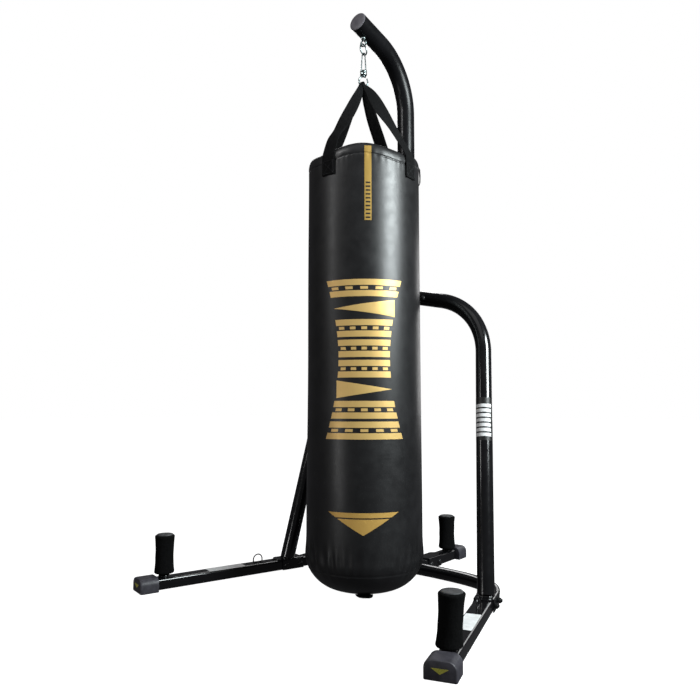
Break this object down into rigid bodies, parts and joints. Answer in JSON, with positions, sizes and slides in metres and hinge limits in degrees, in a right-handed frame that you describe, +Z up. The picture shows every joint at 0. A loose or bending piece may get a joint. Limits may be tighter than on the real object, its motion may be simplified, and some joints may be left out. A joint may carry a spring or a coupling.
{
  "type": "punching bag on stand",
  "caption": "Heavy cylindrical punching bag hung by webbing straps and a swivel hook from the curved arm of a free-standing steel stand with splayed legs, weight pegs and plastic feet.",
  "frame": {"origin": "on the floor at the middle of the stand's footprint", "axes": "+Z up, -Y to the open front between the two front legs, +X to the right side"},
  "size_m": [1.1616, 1.0888, 1.9142],
  "materials": {
    "frame_paint": "gloss black powder coat",
    "fastener_black": "black oxide, slightly glossy",
    "foot_cap_plastic": "fine moulded texture",
    "arm_cap_plastic": "satin",
    "plug_plastic": "satin",
    "roller_foam": "matt closed-cell foam",
    "hardware_zinc": "bright zinc plate",
    "bag_leather": "semi-gloss synthetic leather",
    "bag_filling": "packed textile fibre",
    "strap_webbing": "matt woven nylon webbing"
  },
  "bodies": {
    "stand": {"arm_end_cap": "arm_cap_plastic", "base_frame": "frame_paint", "eye_nut": "hardware_zinc", "eyebolt": "hardware_zinc", "left_anchor_loop": "frame_paint", "left_foot_cap": "foot_cap_plastic", "left_peg": "frame_paint", "left_rail": "frame_paint", "left_saddle": "frame_paint", "left_saddle_bolt_front": "fastener_black", "left_saddle_bolt_rear": "fastener_black", "left_saddle_nut_front": "fastener_black", "left_saddle_nut_rear": "fastener_black", "left_side_tube": "frame_paint", "left_tube_bolt": "fastener_black", "left_tube_nut": "fastener_black", "mast_arm": "frame_paint", "mast_bracket": "frame_paint", "mast_joint_bolt": "fastener_black", "mast_joint_nut": "fastener_black", "mast_lower": "frame_paint", "mast_socket": "frame_paint", "mast_spigot": "frame_paint", "rear_foot_cap": "foot_cap_plastic", "rear_leg": "frame_paint", "rear_peg": "frame_paint", "rear_saddle": "frame_paint", "rear_saddle_bolt_front": "fastener_black", "rear_saddle_bolt_rear": "fastener_black", "rear_saddle_nut_front": "fastener_black", "rear_saddle_nut_rear": "fastener_black", "right_anchor_loop": "frame_paint", "right_foot_cap": "foot_cap_plastic", "right_peg": "frame_paint", "right_rail": "frame_paint", "right_saddle": "frame_paint", "right_saddle_bolt_front": "fastener_black", "right_saddle_bolt_rear": "fastener_black", "right_saddle_nut_front": "fastener_black", "right_saddle_nut_rear": "fastener_black", "right_side_tube": "frame_paint", "right_tube_bolt": "fastener_black", "right_tube_nut": "fastener_black"},
    "ring": {"hanging_ring": "hardware_zinc"},
    "yoke": {"swivel_yoke": "hardware_zinc"},
    "bag": {"bag_cover": "bag_leather", "bag_filling": "bag_filling", "bag_lid": "bag_leather", "snap_hook": "hardware_zinc", "strap_front_back": "strap_webbing", "strap_left_right": "strap_webbing"},
    "gate": {"hook_gate": "hardware_zinc"},
    "left_roller": {"left_roller": "roller_foam", "left_peg_plug": "plug_plastic"},
    "right_roller": {"right_roller": "roller_foam", "right_peg_plug": "plug_plastic"},
    "rear_roller": {"rear_roller": "roller_foam", "rear_peg_plug": "plug_plastic"}
  },
  "joints": [
    {"name": "ring_swing", "type": "hinge", "parent": "stand", "child": "ring", "pos_m": [0, -0.0694, 1.811], "axis": [-1, 0, 0], "range_deg": [-1, 30]},
    {"name": "side_swing", "type": "hinge", "parent": "ring", "child": "yoke", "pos_m": [0, -0.0694, 1.7806], "axis": [0, 1, 0], "range_deg": [-4.5, 4.5]},
    {"name": "swivel_spin", "type": "hinge", "parent": "yoke", "child": "bag", "pos_m": [0, -0.0694, 1.714], "axis": [0, 0, 1], "continuous": true},
    {"name": "gate_press", "type": "hinge", "parent": "bag", "child": "gate", "pos_m": [0.00813, -0.06127, 1.6955], "axis": [-0.7071, 0.7071, 0], "range_deg": [0, 20], "stiffness_Nm_per_rad": 0.02, "springref_deg": -8.59},
    {"name": "left_roller_lift", "type": "slide", "parent": "stand", "child": "left_roller", "axis": [0, 0, 1], "range_m": [0, 0.11]},
    {"name": "right_roller_lift", "type": "slide", "parent": "stand", "child": "right_roller", "axis": [0, 0, 1], "range_m": [0, 0.11]},
    {"name": "rear_roller_lift", "type": "slide", "parent": "stand", "child": "rear_roller", "axis": [0, 0, 1], "range_m": [0, 0.11]}
  ]
}
